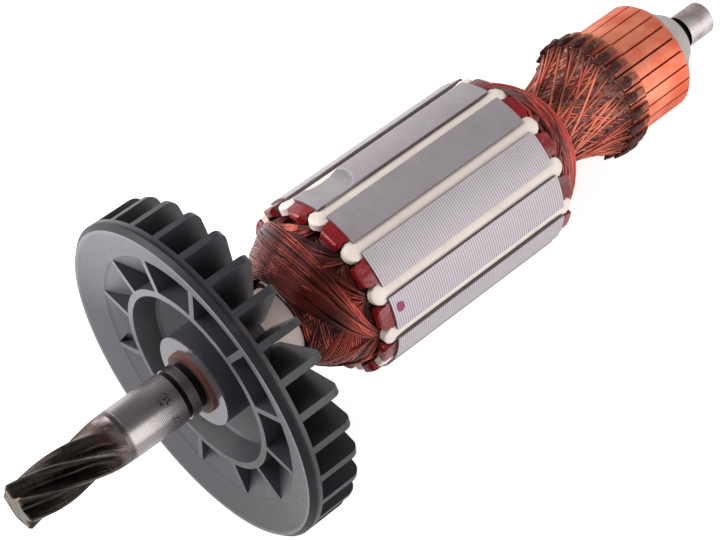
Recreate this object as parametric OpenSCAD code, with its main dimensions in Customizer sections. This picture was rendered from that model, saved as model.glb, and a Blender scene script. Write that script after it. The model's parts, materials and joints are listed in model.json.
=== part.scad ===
// Armature of a rotary-hammer motor, millimetres.
// The shaft lies along +X as it comes to rest: on two fan blades and the rim of the commutator.
// Every sub-part is drawn in the shaft's own frame, with the shaft along +Z, the front of the
// fan's rim at z = 0 and local +X turned towards the floor. The module placed() sets it down.

/* [Pinion] */
// Number of helical teeth cut in the drive end of the shaft
pinion_teeth = 6; // [5:1:8]
// Diameter over the tooth crests
pinion_crest_d = 8.9; // [8:0.1:9.3]
// Diameter at the tooth roots
pinion_root_d = 4.9; // [4.5:0.1:7]
// Advance of one full turn of the right-hand helix
pinion_lead = 66; // [45:1:90]
// Length from the tip to the bearing seat, run-out included
pinion_l = 21.6; // [18:0.1:26]
// Length over which the tooth gaps run out into the seat
pinion_runout_l = 8; // [5:0.5:10]
// Length of round shaft left between the run-out and the seat
pinion_plain_l = 1.2; // [0.4:0.1:2]

/* [Shaft] */
// Diameter of the drive-side bearing seat
drive_seat_d = 10; // [9.8:0.1:10.6]
// Length of the drive-side bearing seat
drive_seat_l = 11.3; // [9:0.1:14]
// Diameter of the shaft where it carries the fan and the core
shaft_body_d = 11.5; // [11:0.1:12]
// Diameter of the shaft under the commutator
commutator_seat_d = 9; // [8.4:0.1:9.6]
// Diameter of the commutator-side bearing seat
rear_seat_d = 7; // [6:0.1:8]
// Length of the commutator-side bearing seat
rear_seat_l = 7; // [6:0.1:12]
// Width of the collar beside the drive-side bearing seat
collar_w = 1.9; // [0.8:0.1:2.4]
// Width of the relief groove between seat and collar
relief_w = 0.95; // [0.8:0.05:1.6]
// Width of the relief groove between the commutator's end collar and the rear seat
rear_relief_w = 2.7; // [1:0.1:3.5]
// Depth of the relief grooves
relief_depth = 0.55; // [0.3:0.05:0.8]
// Chamfer on the rear end of the shaft
shaft_chamfer = 0.5; // [0.2:0.1:0.8]

/* [Spacer ring] */
// Thickness of the spacer ring in front of the fan's hub
spacer_t = 0.7; // [0.5:0.1:1]
// Outer diameter of the spacer ring
spacer_d = 12.2; // [12:0.1:14]
// Width of the groove left open between collar and spacer ring
spacer_gap = 1.5; // [1:0.05:2]

/* [Fan] */
// Outer diameter of the fan
fan_d = 64.8; // [62:0.2:68]
// Number of blades
blade_count = 30; // [26:2:34]
// Thickness of a blade
blade_t = 1.4; // [1:0.1:1.8]
// Depth from the front of the rim to the outer tip of a blade
blade_depth = 11.1; // [9.5:0.1:12]
// Depth from the front of the rim to the inner end of a blade
blade_root_depth = 13.2; // [12:0.1:14]
// Radius at which the blades start
blade_root_r = 13; // [12:0.5:15]
// Radius of the outer corner of a blade
blade_corner_r = 2; // [1:0.1:3]
// Thickness of the fan's rim and dished wall
fan_wall = 1.5; // [1.2:0.1:2]
// Outer diameter of the raised ring on the front of the fan
ring_d = 37.3; // [34:0.1:40]
// Width of the front edge of the raised ring
ring_w = 1.35; // [1:0.05:2]
// Distance of the ring and the ribs behind the front of the rim
ring_set_back = 1.75; // [1.2:0.05:2.5]
// Radius at which the dished front turns down towards the ring
dish_r = 25.4; // [24:0.1:28]
// Drop of the dish for each millimetre towards the axis, inside that radius
dish_slope = 0.67; // [0.5:0.01:0.8]
// Number of ribs between the ring and the dished front
rib_count = 12; // [8:1:16]
// Thickness of a rib
rib_t = 1.2; // [0.8:0.1:1.6]
// Outer diameter of the hub
hub_d = 18.2; // [16:0.2:21]
// Distance of the hub's face behind the front of the rim
hub_set_back = 1.25; // [0.8:0.05:2]
// Depth from the front of the rim to the rear face of the hub
hub_depth = 14; // [13.6:0.1:16]

/* [Insulating tube] */
// Outer diameter of the insulating tube on the shaft
tube_d = 13.8; // [13:0.1:14.4]

/* [Core] */
// Outer diameter of the laminated core
core_d = 36; // [35:0.1:38]
// Length of the laminated core
core_l = 42; // [30:0.5:60]
// Distance from the front of the fan's rim to the core
core_set_back = 33.35; // [32:0.05:38]
// Number of slots
slot_count = 12; // [10:1:14]
// Width of a slot's mouth
slot_mouth_w = 2.4; // [2:0.1:3]
// Depth of the tooth tips at a slot's mouth
tooth_tip_t = 1; // [0.9:0.05:1.2]
// Width of a slot under the tooth tips, where the wedge sits
slot_top_w = 4; // [3.6:0.1:4.2]
// Width of a slot at its widest, below the wedge
slot_belly_w = 5.2; // [4.4:0.1:5.4]
// Width of a slot at its rounded bottom
slot_bottom_w = 2.2; // [1.8:0.1:2.4]
// Radius of the bottom of a slot
slot_bottom_r = 9.6; // [9.2:0.1:10.4]
// Length of the balancing cut across one tooth
balance_cut_l = 9; // [5:0.5:12]
// Depth of the balancing cut
balance_cut_depth = 0.8; // [0.3:0.05:0.9]
// Distance of the balancing cut from the core's end
balance_cut_inset = 2; // [0:0.5:20]

/* [Insulation] */
// Thickness of the end insulators on the core's faces
insulator_t = 0.8; // [0.6:0.1:1.2]
// Width of a lip of the end insulators
lip_w = 4.6; // [3.6:0.1:5.2]
// Height of the lips
lip_h = 3.1; // [2:0.1:4]
// Radial thickness of the lips
lip_t = 2; // [1.6:0.1:2.4]
// Distance of the insulators inside the core's outline
insulator_inset = 0.45; // [0.3:0.05:0.8]
// Thickness of the slot liners
liner_t = 0.3; // [0.2:0.05:0.4]
// Thickness of a slot wedge at its edges
wedge_t = 1.15; // [0.9:0.05:1.3]
// Rise of a wedge's rounded back into the slot's mouth
wedge_crown = 0.25; // [0.1:0.05:0.4]
// Rise of the domed heads that a wedge has outside its slot
wedge_head_h = 0.55; // [0.3:0.05:0.7]
// Length of a wedge past each end of the core
wedge_overhang = 2.6; // [1:0.1:3]
// Gap around each wedge and liner
fit_gap = 0.05; // [0.03:0.01:0.08]

/* [Winding] */
// Length of the end winding on the fan's side
drive_winding_l = 12.1; // [10:0.1:14]
// Length of the end winding on the commutator's side
rear_winding_l = 11.6; // [10:0.1:18]
// Largest radius of the end winding on the fan's side
drive_winding_r = 16.9; // [16.2:0.1:17.2]
// Largest radius of the end winding on the commutator's side
rear_winding_r = 16.5; // [15.8:0.1:17]
// Height of the ridges that the lapped coils make
coil_ridge = 0.75; // [0.3:0.05:1]
// Angle that a coil swings round the shaft between slot and nose
coil_sweep = 72; // [40:1:90]
// Diameter of a lead to the commutator
lead_d = 0.8; // [0.5:0.05:1]
// Angle that a lead swings round the packing
lead_sweep = 38; // [20:1:60]

/* [Commutator] */
// Number of bars
bar_count = 24; // [20:2:28]
// Diameter of the brush track
track_d = 23; // [21:0.2:24]
// Length of a bar with its riser
bar_l = 17; // [14:0.2:22]
// Distance from the core to the commutator
commutator_gap = 25.65; // [25:0.05:30]
// Length of the riser that carries the hook
riser_l = 4.4; // [3:0.1:6]
// Height of the riser over the brush track
riser_h = 0.5; // [0.3:0.05:0.8]
// Width of the slots between bars
bar_slot_w = 0.4; // [0.3:0.05:0.9]
// Depth of the open part of those slots
bar_undercut = 1; // [0.6:0.1:1.4]
// Radial thickness of a bar
bar_t = 3.3; // [2.6:0.1:3.8]
// Width of a hook
hook_w = 1.3; // [1:0.1:2]
// Thickness of a hook
hook_t = 0.75; // [0.5:0.05:0.9]
// Wall of the metal bush in the commutator
bush_t = 1; // [0.7:0.1:1.4]
// Length of the collar behind the commutator
end_collar_l = 7; // [5:0.1:8]
// Largest diameter of that collar
end_collar_d = 21; // [19:0.2:22]
// Smallest diameter of that collar
end_collar_tip_d = 11; // [10:0.2:14]
// Smallest diameter of the lead packing, at its waist
waist_d = 14.2; // [14.2:0.1:16]

/* [Hidden] */
$fn = 96;

// Stations along the shaft, from the pinion's tip to the rear end
spacer_z = hub_set_back - spacer_t;
collar_z = spacer_z - spacer_gap - collar_w;
drive_seat_end = collar_z - relief_w;
drive_seat_z = drive_seat_end - drive_seat_l;
pinion_z = drive_seat_z - pinion_l;
core_z = core_set_back;
core_end = core_z + core_l;
commutator_z = core_end + commutator_gap;
commutator_end = commutator_z + bar_l;
end_collar_end = commutator_end + end_collar_l;
rear_seat_z = end_collar_end + rear_relief_w;
shaft_end = rear_seat_z + rear_seat_l;
pinion_bevel = 0.5;
pinion_tip_r = pinion_crest_d / 2 - pinion_bevel * 0.8;

// Radii that several pieces share
body_r = shaft_body_d / 2;
track_r = track_d / 2;
riser_r = track_r + riser_h;
bar_root_r = track_r - bar_t;
bush_r = commutator_seat_d / 2 + bush_t;
fan_r = fan_d / 2;
ring_r = ring_d / 2;
hub_r = hub_d / 2;
core_r = core_d / 2;
tube_r = tube_d / 2;
waist_r = waist_d / 2;
insulator_r = core_r - insulator_inset;
lip_bottom_r = insulator_r - lip_t;
wedge_top_r = core_r - tooth_tip_t - fit_gap;
wedge_bottom_r = wedge_top_r - wedge_t;
winding_seat_r = min(lip_bottom_r, wedge_bottom_r) - fit_gap;
winding_seat_l = lip_h - insulator_t + fit_gap;
slot_neck_r = wedge_bottom_r - 0.8;
slot_belly_r = slot_neck_r - 1.4;

// Pitches, and the turn of each pattern about the shaft: the floor meets two blades evenly
blade_pitch = 360 / blade_count;
rib_pitch = 360 / rib_count;
rib_phase = 16.4;
slot_pitch = 360 / slot_count;
slot_phase = slot_pitch / 4;
bar_pitch = 360 / bar_count;
bar_phase = bar_pitch / 2;
balanced_tooth = 4;

// The armature rests on the outer corners of two blades and on the end of the commutator
blade_foot_z = blade_depth - blade_corner_r;
blade_foot_r = (fan_r - blade_corner_r) * cos(blade_pitch / 2) + blade_t / 2 * sin(blade_pitch / 2);
track_chamfer = 0.3;
bar_foot_r = track_r;
bar_foot_z = commutator_end - track_chamfer;
foot_span = norm([bar_foot_z - blade_foot_z, blade_foot_r - bar_foot_r]);
rest_tilt = atan2(blade_foot_r - bar_foot_r, bar_foot_z - blade_foot_z) + asin(blade_corner_r / foot_span);
rest_lift = bar_foot_z * sin(rest_tilt) + bar_foot_r * cos(rest_tilt);
front_x = pinion_z * cos(rest_tilt) - pinion_tip_r * sin(rest_tilt);
rear_x = shaft_end * cos(rest_tilt) + (rear_seat_d / 2 - shaft_chamfer) * sin(rest_tilt);
rest_x = -(front_x + rear_x) / 2;

function two_digits(n) = str(n < 10 ? "0" : "", n);

WEDGES = [for (i = [1 : slot_count]) str("slot_wedge_", two_digits(i))];
BARS = [for (i = [1 : bar_count]) str("commutator_bar_", two_digits(i))];

// Sets a piece drawn along +Z down on the floor, with the shaft along +X
module placed() {
    translate([rest_x, 0, rest_lift])
        rotate([0, 90 + rest_tilt, 0])
            children();
}

// A flat plate of thickness t that stands on the axis, drawn as (radius, z) points
module radial_plate(t) {
    rotate([90, 0, 0])
        linear_extrude(height = t, center = true)
            children();
}

// Points of a circular arc about c, from angle a to angle b
function arc(c, r, a, b, n) = [
    for (i = [0 : n])
        let (t = a + (b - a) * i / n)
        c + r * [cos(t), sin(t)]];

// Faces of a grid of rings * sides points, closed round each ring and capped at both ends
function tube_faces(rings, sides) = concat(
    [[for (j = [0 : sides - 1]) j]],
    [[for (j = [sides - 1 : -1 : 0]) (rings - 1) * sides + j]],
    [for (i = [0 : rings - 2]) for (j = [0 : sides - 1])
        let (k = (j + 1) % sides)
        [i * sides + j, (i + 1) * sides + j, (i + 1) * sides + k, i * sides + k]]);

// Faces of a grid that is closed both ways, as on a torus
function torus_faces(rings, sides) = [
    for (i = [0 : rings - 1]) for (j = [0 : sides - 1])
        let (k = (j + 1) % sides, m = (i + 1) % rings)
        [i * sides + j, m * sides + j, m * sides + k, i * sides + k]];

// ---- Shaft -------------------------------------------------------------

pinion_rings = 24;
pinion_sides = pinion_teeth * 11;
pinion_root_r = pinion_root_d / 2;
pinion_crest_r = pinion_crest_d / 2;
pinion_end_r = drive_seat_d / 2 - 0.07;

// Rounded tooth: 1 at the crest and 0 in the gap, which is wider than the tooth
function tooth_form(a) = pow((1 + cos(pinion_teeth * a)) / 2, 1.25);
// Share of the run-out passed at height z, from 0 at its start to 1 where round shaft is left
function runout(z) = max(0, min(1, (z + pinion_plain_l + pinion_runout_l - pinion_l) / pinion_runout_l));
function root_at(z) = pinion_root_r + (pinion_end_r - pinion_root_r) * pow(runout(z), 2);
function crest_at(z) = pinion_crest_r + (pinion_end_r - pinion_crest_r) * runout(z)
    - max(0, pinion_bevel - z) * 0.8;
function pinion_r(a, z) = let (r0 = root_at(z)) r0 + max(0, crest_at(z) - r0) * tooth_form(a);

module pinion() {
    heights = concat(
        [0, pinion_bevel],
        [for (i = [1 : pinion_rings - 3]) pinion_bevel + (pinion_l - pinion_bevel) * i / (pinion_rings - 3)],
        [pinion_l + 0.6]);
    points = [
        for (z = heights) for (j = [0 : pinion_sides - 1])
            let (a = 360 * j / pinion_sides, r = pinion_r(a, z), t = a + 360 * z / pinion_lead)
            [r * cos(t), r * sin(t), z]];
    translate([0, 0, pinion_z])
        polyhedron(points, tube_faces(len(heights), pinion_sides));
}

module shaft() {
    seat_r = drive_seat_d / 2;
    relief_r = seat_r - relief_depth;
    rear_r = rear_seat_d / 2;
    rear_relief_r = rear_r - relief_depth;
    color([0.52, 0.5, 0.49]) placed() {
        pinion();
        rotate_extrude()
            polygon([
                [0, drive_seat_z], [seat_r, drive_seat_z],
                [seat_r, drive_seat_end], [relief_r, drive_seat_end],
                [relief_r, collar_z], [seat_r, collar_z],
                [seat_r, collar_z + collar_w], [relief_r, collar_z + collar_w],
                [relief_r, hub_set_back], [body_r, hub_set_back],
                [body_r, commutator_z], [commutator_seat_d / 2, commutator_z],
                [commutator_seat_d / 2, end_collar_end], [rear_relief_r, end_collar_end],
                [rear_relief_r, rear_seat_z], [rear_r, rear_seat_z],
                [rear_r, shaft_end - shaft_chamfer], [rear_r - shaft_chamfer, shaft_end],
                [0, shaft_end]]);
    }
}

module spacer_ring() {
    color([0.72, 0.32, 0.2]) placed()
        translate([0, 0, spacer_z])
            difference() {
                cylinder(h = spacer_t, d = spacer_d);
                translate([0, 0, -1])
                    cylinder(h = spacer_t + 2, r = drive_seat_d / 2 - relief_depth);
            }
}

// ---- Fan ---------------------------------------------------------------

rim_t = 2.2;
rim_bevel = 0.9;
rim_flat_w = 0.7;
// Depth of the dished front at radius r, inside the turn of the dish
function dish_z(r) = ring_set_back + (dish_r - r) * dish_slope;
ring_foot_z = 5.8;
ring_foot_r = ring_r - 2.7;
floor_z = 10.2;
rear_wall = fan_wall * 1.15;

module fan_body() {
    rotate_extrude()
        polygon([
            [body_r, hub_set_back], [hub_r, hub_set_back], [hub_r, floor_z],
            [ring_foot_r - 0.5, ring_foot_z + 0.5], [ring_foot_r, ring_foot_z],
            [ring_r - ring_w, ring_set_back], [ring_r, ring_set_back],
            [ring_r, dish_z(ring_r)], [dish_r, ring_set_back],
            [fan_r - rim_bevel - rim_flat_w, 0.1], [fan_r - rim_bevel, 0], [fan_r, rim_bevel],
            [fan_r, rim_t], [dish_r + 1, ring_set_back + fan_wall],
            [blade_root_r, dish_z(blade_root_r) + rear_wall], [hub_r, hub_depth - 0.8],
            [hub_r, hub_depth], [body_r, hub_depth]]);
}

module fan_blade() {
    corner = blade_corner_r;
    inner = 1.2;
    radial_plate(blade_t)
        polygon(concat(
            [[fan_r, rim_t - 0.4]],
            arc([fan_r - corner, blade_depth - corner], corner, 0, 84, 8),
            arc([blade_root_r + inner, blade_root_depth - inner], inner, 84, 180, 6),
            [[blade_root_r, dish_z(blade_root_r) + rear_wall - 0.6],
             [dish_r + 1, ring_set_back + fan_wall - 0.6]]));
}

module fan_rib() {
    radial_plate(rib_t)
        polygon([
            [ring_r - ring_w / 2, ring_set_back], [dish_r + 0.4, ring_set_back],
            [dish_r + 0.4, ring_set_back + 0.6], [ring_r - ring_w / 2, dish_z(ring_r) + 0.6]]);
}

module fan() {
    color([0.2, 0.2, 0.21]) placed() {
        fan_body();
        for (i = [0 : blade_count - 1])
            rotate((i + 0.5) * blade_pitch)
                fan_blade();
        for (i = [0 : rib_count - 1])
            rotate(rib_phase + i * rib_pitch)
                fan_rib();
    }
}

// ---- Core and its insulation ------------------------------------------

module insulating_tube() {
    color([0.78, 0.72, 0.67]) placed()
        translate([0, 0, hub_depth])
            difference() {
                cylinder(h = commutator_z - hub_depth, r = tube_r);
                translate([0, 0, -1])
                    cylinder(h = commutator_z - hub_depth + 2, r = body_r);
            }
}

// Outline of one slot about +X, grown by g and cut off at radius top
module slot_outline(g, top) {
    shoulder_r = core_r - tooth_tip_t;
    bottom = slot_bottom_w / 2 + g;
    bottom_c = slot_bottom_r + slot_bottom_w / 2;
    half_belly = slot_belly_w / 2 + g;
    half_top = slot_top_w / 2 + g;
    end_r = min(top, shoulder_r) + g;
    translate([bottom_c, 0])
        circle(r = bottom, $fn = 24);
    polygon([
        [bottom_c, -bottom], [slot_belly_r, -half_belly], [slot_neck_r, -half_top], [end_r, -half_top],
        [end_r, half_top], [slot_neck_r, half_top], [slot_belly_r, half_belly], [bottom_c, bottom]]);
}

module at_slots() {
    for (i = [0 : slot_count - 1])
        rotate(slot_phase + i * slot_pitch)
            children();
}

module core_laminations() {
    half_cut = balance_cut_l / 2;
    cut_r = (half_cut * half_cut + balance_cut_depth * balance_cut_depth) / (2 * balance_cut_depth);
    color([0.62, 0.61, 0.62]) placed()
        difference() {
            translate([0, 0, core_z])
                linear_extrude(height = core_l)
                    difference() {
                        circle(r = core_r);
                        circle(r = tube_r);
                        at_slots() {
                            slot_outline(0, core_r);
                            translate([core_r - 2 * tooth_tip_t, -slot_mouth_w / 2])
                                square([3 * tooth_tip_t, slot_mouth_w]);
                        }
                    }
            rotate(slot_phase + (balanced_tooth + 0.35) * slot_pitch)
                translate([core_r - balance_cut_depth + cut_r, 0, core_z + balance_cut_inset + half_cut])
                    rotate([90, 0, 0])
                        cylinder(h = core_r, r = cut_r, center = true);
        }
}

// Plate with one finger on each tooth
module insulator_plate() {
    difference() {
        circle(r = insulator_r);
        circle(r = tube_r);
        at_slots()
            slot_outline(0, core_r);
        at_slots()
            translate([core_r - 4 * tooth_tip_t, -slot_top_w / 2])
                square([5 * tooth_tip_t, slot_top_w]);
    }
}

// Plate with a rounded lip at the end of each finger
module end_insulator() {
    round_r = 0.8;
    corner = 1.5;
    half = lip_w / 2;
    linear_extrude(height = insulator_t)
        insulator_plate();
    intersection() {
        linear_extrude(height = lip_h)
            insulator_plate();
        rotate_extrude()
            polygon(concat(
                [[lip_bottom_r, 0], [insulator_r, 0]],
                arc([insulator_r - round_r, lip_h - round_r], round_r, 0, 90, 5),
                arc([lip_bottom_r + round_r, lip_h - round_r], round_r, 90, 180, 5)));
        rotate(slot_pitch / 2)
            at_slots()
                translate([lip_bottom_r - 1, 0, 0])
                    rotate([0, 90, 0])
                        linear_extrude(height = lip_t + 2)
                            polygon(concat(
                                [[1, half], [1, -half]],
                                arc([corner - lip_h, corner - half], corner, -90, -180, 4),
                                arc([corner - lip_h, half - corner], corner, 180, 90, 4)));
    }
}

module drive_end_insulator() {
    color([0.62, 0.1, 0.12]) placed()
        translate([0, 0, core_z])
            mirror([0, 0, 1])
                end_insulator();
}

module rear_end_insulator() {
    color([0.62, 0.1, 0.12]) placed()
        translate([0, 0, core_end])
            end_insulator();
}

module slot_liners() {
    color([0.45, 0.16, 0.12]) placed()
        translate([0, 0, core_z - insulator_t + fit_gap])
            linear_extrude(height = core_l + 2 * (insulator_t - fit_gap))
                at_slots()
                    difference() {
                        slot_outline(-fit_gap, wedge_bottom_r - 2 * fit_gap);
                        slot_outline(-fit_gap - liner_t, core_r);
                    }
}

module slot_conductors() {
    color([0.5, 0.22, 0.16]) placed()
        translate([0, 0, core_z - insulator_t])
            linear_extrude(height = core_l + 2 * insulator_t)
                at_slots()
                    slot_outline(-2 * fit_gap - liner_t, wedge_bottom_r - fit_gap);
}

// Strip under the tooth tips, with a rounded back in the mouth and a domed head at each end
module slot_wedge(i) {
    half = slot_top_w / 2 - fit_gap;
    back_half = slot_mouth_w / 2 - fit_gap;
    back_r = (back_half * back_half + wedge_crown * wedge_crown) / (2 * wedge_crown);
    back_c = wedge_top_r + wedge_crown - back_r;
    back_angle = asin(back_half / back_r);
    dome_h = wedge_head_h + 0.35;
    dome_r = (half * half + dome_h * dome_h) / (2 * dome_h);
    dome_c = wedge_top_r + wedge_head_h - dome_r;
    dome_angle = asin(half / dome_r);
    corner = half * 0.9;
    total = core_l + 2 * wedge_overhang;
    color([0.86, 0.82, 0.76]) placed()
        rotate(slot_phase + i * slot_pitch)
            intersection() {
                union() {
                    translate([0, 0, core_z - fit_gap])
                        linear_extrude(height = core_l + 2 * fit_gap)
                            polygon(concat(
                                [[wedge_bottom_r, -half], [wedge_top_r, -half]],
                                arc([back_c, 0], back_r, -back_angle, back_angle, 6),
                                [[wedge_top_r, half], [wedge_bottom_r, half]]));
                    for (z = [core_z - wedge_overhang, core_end + fit_gap])
                        translate([0, 0, z])
                            linear_extrude(height = wedge_overhang - fit_gap)
                                polygon(concat(
                                    [[wedge_bottom_r, -half]],
                                    arc([dome_c, 0], dome_r, -dome_angle, dome_angle, 8),
                                    [[wedge_bottom_r, half]]));
                }
                translate([wedge_bottom_r - 1, 0, core_z - wedge_overhang])
                    rotate([0, 90, 0])
                        linear_extrude(height = wedge_t + wedge_head_h + 2)
                            polygon(concat(
                                arc([-corner, half - corner], corner, 0, 90, 5),
                                arc([-total + corner, half - corner], corner, 90, 180, 5),
                                arc([-total + corner, corner - half], corner, 180, 270, 5),
                                arc([-corner, corner - half], corner, 270, 360, 5)));
            }
}

// ---- Winding -----------------------------------------------------------

winding_sides = 96;
winding_steps = 12;
winding_foot = 0.4;

// Share of the coils' height that is left at share t of the overhang
function nose(t) = pow(max(0, 1 - pow(t, 1.7)), 0.7);
// Ridges of the lapped coils, 0 in the valleys and 1 on the crests
function ridge(a) = pow(abs(cos(slot_count / 2 * a)), 0.7);

// Ring of lapped coils of length l and radius top_r round the insulating tube, its seat at z = 0
module end_winding(l, top_r) {
    bore = tube_r + fit_gap;
    foot = bore + winding_foot;
    heights = concat(
        [0, winding_seat_l],
        [for (i = [0 : winding_steps])
            let (z = winding_seat_l + 0.1)
            z + (l - z) * sin(90 * i / winding_steps)]);
    function coil_r(a, z) =
        let (
            t = z / l,
            groove = coil_ridge * (1 - ridge(a - coil_sweep * t * t)) * (1 - pow(t, 6)),
            r = foot + (top_r - foot) * nose(t) - groove)
        max(foot, z > winding_seat_l ? r : min(r, winding_seat_r));
    points = [
        for (j = [0 : winding_sides - 1])
            let (a = 360 * j / winding_sides)
            for (v = concat([for (z = heights) [coil_r(a, z), z]], [[bore, l], [bore, 0]]))
                [v[0] * cos(a), v[0] * sin(a), v[1]]];
    polyhedron(points, torus_faces(winding_sides, len(heights) + 2));
}

module drive_end_winding() {
    color([0.45, 0.17, 0.13]) placed()
        translate([0, 0, core_z - insulator_t])
            rotate([180, 0, 0])
                end_winding(drive_winding_l, drive_winding_r);
}

module rear_end_winding() {
    color([0.55, 0.2, 0.15]) placed()
        translate([0, 0, core_end + insulator_t])
            end_winding(rear_winding_l, rear_winding_r);
}

packing_z = core_end + insulator_t + rear_winding_l + 0.1;
packing_l = commutator_z - packing_z;
packing_top_r = track_r - 0.1;
function packing_r(t) = waist_r + (packing_top_r - waist_r) * pow(max(0, t), 2.2);

module lead_packing() {
    steps = 12;
    color([0.76, 0.72, 0.6]) placed()
        translate([0, 0, packing_z])
            rotate_extrude()
                polygon(concat(
                    [for (i = [0 : steps]) [packing_r(i / steps), packing_l * i / steps]],
                    [[tube_r, packing_l], [tube_r, 0]]));
}

// One lead laid over the packing, from its waist to the hook of its bar
module commutator_lead() {
    rings = 8;
    sides = 6;
    wire_r = lead_d / 2;
    span = packing_l - hook_t - 0.5;
    function path(t) =
        let (r = packing_r(t * span / packing_l) + wire_r * 1.4 + fit_gap, a = lead_sweep * (1 - t))
        [r * cos(a), r * sin(a), 0.2 + span * t];
    points = [
        for (i = [0 : rings - 1])
            let (
                t = i / (rings - 1),
                c = path(t),
                d = path(t + 0.01) - path(t - 0.01),
                along = d / norm(d),
                side0 = cross(along, [c[0], c[1], 0]),
                side = side0 / norm(side0),
                up = cross(side, along))
            for (j = [0 : sides - 1])
                let (w = 360 * j / sides)
                c + wire_r * (cos(w) * side + sin(w) * up)];
    translate([0, 0, packing_z])
        polyhedron(points, tube_faces(rings, sides));
}

module commutator_leads() {
    color([0.68, 0.25, 0.14]) placed()
        for (i = [0 : bar_count - 1])
            rotate(bar_phase + i * bar_pitch)
                commutator_lead();
}

// ---- Commutator --------------------------------------------------------

module commutator_bush() {
    color([0.6, 0.5, 0.3]) placed()
        translate([0, 0, commutator_z])
            difference() {
                cylinder(h = bar_l, r = bush_r);
                translate([0, 0, -1])
                    cylinder(h = bar_l + 2, d = commutator_seat_d);
            }
}

// Ring that holds the bars, with a fin in each slot between them
module commutator_moulding() {
    color([0.25, 0.17, 0.14]) placed()
        translate([0, 0, commutator_z])
            linear_extrude(height = bar_l)
                difference() {
                    union() {
                        circle(r = bar_root_r);
                        for (i = [0 : bar_count - 1])
                            rotate(i * bar_pitch)
                                translate([0, -bar_slot_w / 2])
                                    square([track_r - bar_undercut, bar_slot_w]);
                    }
                    circle(r = bush_r);
                }
}

// Bar with its raised riser, and the hook folded back over the riser
module commutator_bar(i) {
    reach = riser_r + 2;
    half = bar_pitch / 2;
    offset_r = bar_slot_w / 2 / sin(half);
    hook_top = riser_r + hook_t;
    hook_r = hook_t / 2 + 0.1;
    color([0.8, 0.42, 0.27]) placed()
        rotate(bar_phase + i * bar_pitch) {
            intersection() {
                translate([0, 0, commutator_z])
                    rotate_extrude()
                        polygon([
                            [bar_root_r, 0], [riser_r, 0], [riser_r, riser_l],
                            [track_r, riser_l + riser_h], [track_r, bar_l - track_chamfer],
                            [track_r - track_chamfer, bar_l], [bar_root_r, bar_l]]);
                translate([offset_r, 0, commutator_z - 1])
                    linear_extrude(height = bar_l + 2)
                        polygon([
                            [0, 0], [reach * cos(half), -reach * sin(half)],
                            [reach * cos(half), reach * sin(half)]]);
            }
            translate([0, 0, commutator_z])
                radial_plate(hook_w)
                    polygon(concat(
                        [[riser_r - 0.25, 0.4], [riser_r - 0.25, 0], [hook_top - 2 * hook_r, 0]],
                        arc([hook_top - hook_r, -0.4], hook_r, 180, 360, 8),
                        [[hook_top, riser_l - 0.9], [hook_top - 0.3, riser_l - 0.3],
                         [riser_r - 0.1, riser_l - 0.3]]));
        }
}

module commutator_end_collar() {
    tip_r = end_collar_tip_d / 2;
    big_r = end_collar_d / 2;
    color([0.72, 0.69, 0.67]) placed()
        translate([0, 0, commutator_end])
            rotate_extrude()
                polygon([
                    [commutator_seat_d / 2, 0], [big_r, 0], [big_r, 0.9],
                    [big_r - 0.6, 1.5], [(big_r + tip_r) / 2, end_collar_l * 0.47],
                    [tip_r, end_collar_l], [commutator_seat_d / 2, end_collar_l]]);
}

shaft();
spacer_ring();
fan();
insulating_tube();
core_laminations();
drive_end_insulator();
rear_end_insulator();
slot_liners();
slot_conductors();
drive_end_winding();
rear_end_winding();
lead_packing();
commutator_leads();
commutator_bush();
commutator_moulding();
commutator_end_collar();
for (i = [0 : slot_count - 1])
    slot_wedge(i);
for (i = [0 : bar_count - 1])
    commutator_bar(i);
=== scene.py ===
# %% [markdown]
# # A motor armature
# The armature is a shaft that carries a cooling fan, a slotted iron core wound with enamelled
# wire, and a commutator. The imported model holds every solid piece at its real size. This lesson
# gives those pieces their finishes, and lays the hundreds of wires that a solid can only hint at.

# %% Frame
import json
import math
import random
from collections import namedtuple

import bmesh
import bpy
from mathutils import Matrix, Vector


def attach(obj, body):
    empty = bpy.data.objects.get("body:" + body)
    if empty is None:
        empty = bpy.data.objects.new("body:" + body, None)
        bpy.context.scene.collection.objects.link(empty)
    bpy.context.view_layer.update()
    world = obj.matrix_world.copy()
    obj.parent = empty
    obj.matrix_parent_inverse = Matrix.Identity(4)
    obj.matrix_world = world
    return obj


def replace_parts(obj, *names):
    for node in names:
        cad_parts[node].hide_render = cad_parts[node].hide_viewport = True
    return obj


MM = 0.001
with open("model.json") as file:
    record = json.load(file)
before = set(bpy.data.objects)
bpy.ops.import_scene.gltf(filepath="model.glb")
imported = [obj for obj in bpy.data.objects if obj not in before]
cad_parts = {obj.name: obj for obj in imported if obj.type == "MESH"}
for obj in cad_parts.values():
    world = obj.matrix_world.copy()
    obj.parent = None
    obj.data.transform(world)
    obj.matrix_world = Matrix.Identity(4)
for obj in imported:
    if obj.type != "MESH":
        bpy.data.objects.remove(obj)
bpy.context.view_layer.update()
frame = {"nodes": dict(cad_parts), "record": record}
record = frame["record"]
nodes = frame["nodes"]
dice = random.Random(12)
print("solid pieces:", len(nodes))

# %% [markdown]
# ## The shaft's own frame
# The armature lies tilted, on two fan blades and the end of the commutator, so nothing on it
# runs along a world axis. Turned parts are far easier to think about along their own axis: a
# radius, an angle, and a distance from the front of the fan. The bearing seats stored with the
# part give that axis, and `at` turns the three numbers into a point in the world.

# %% Shaft frame
mounts = {mount["name"]: mount for mount in record["mounts"]}
seat_point = Vector(mounts["drive_bearing_seat"]["pos_m"])
axis = Vector(mounts["commutator_bearing_seat"]["axis"]).normalized()
side = Vector((0, 1, 0))
down = side.cross(axis)


def reach_along(node, start):
    """Lowest and highest distance of a node's vertices from start along the shaft, in metres."""
    distances = [(v.co - start).dot(axis) for v in nodes[node].data.vertices]
    return min(distances), max(distances)


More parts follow.
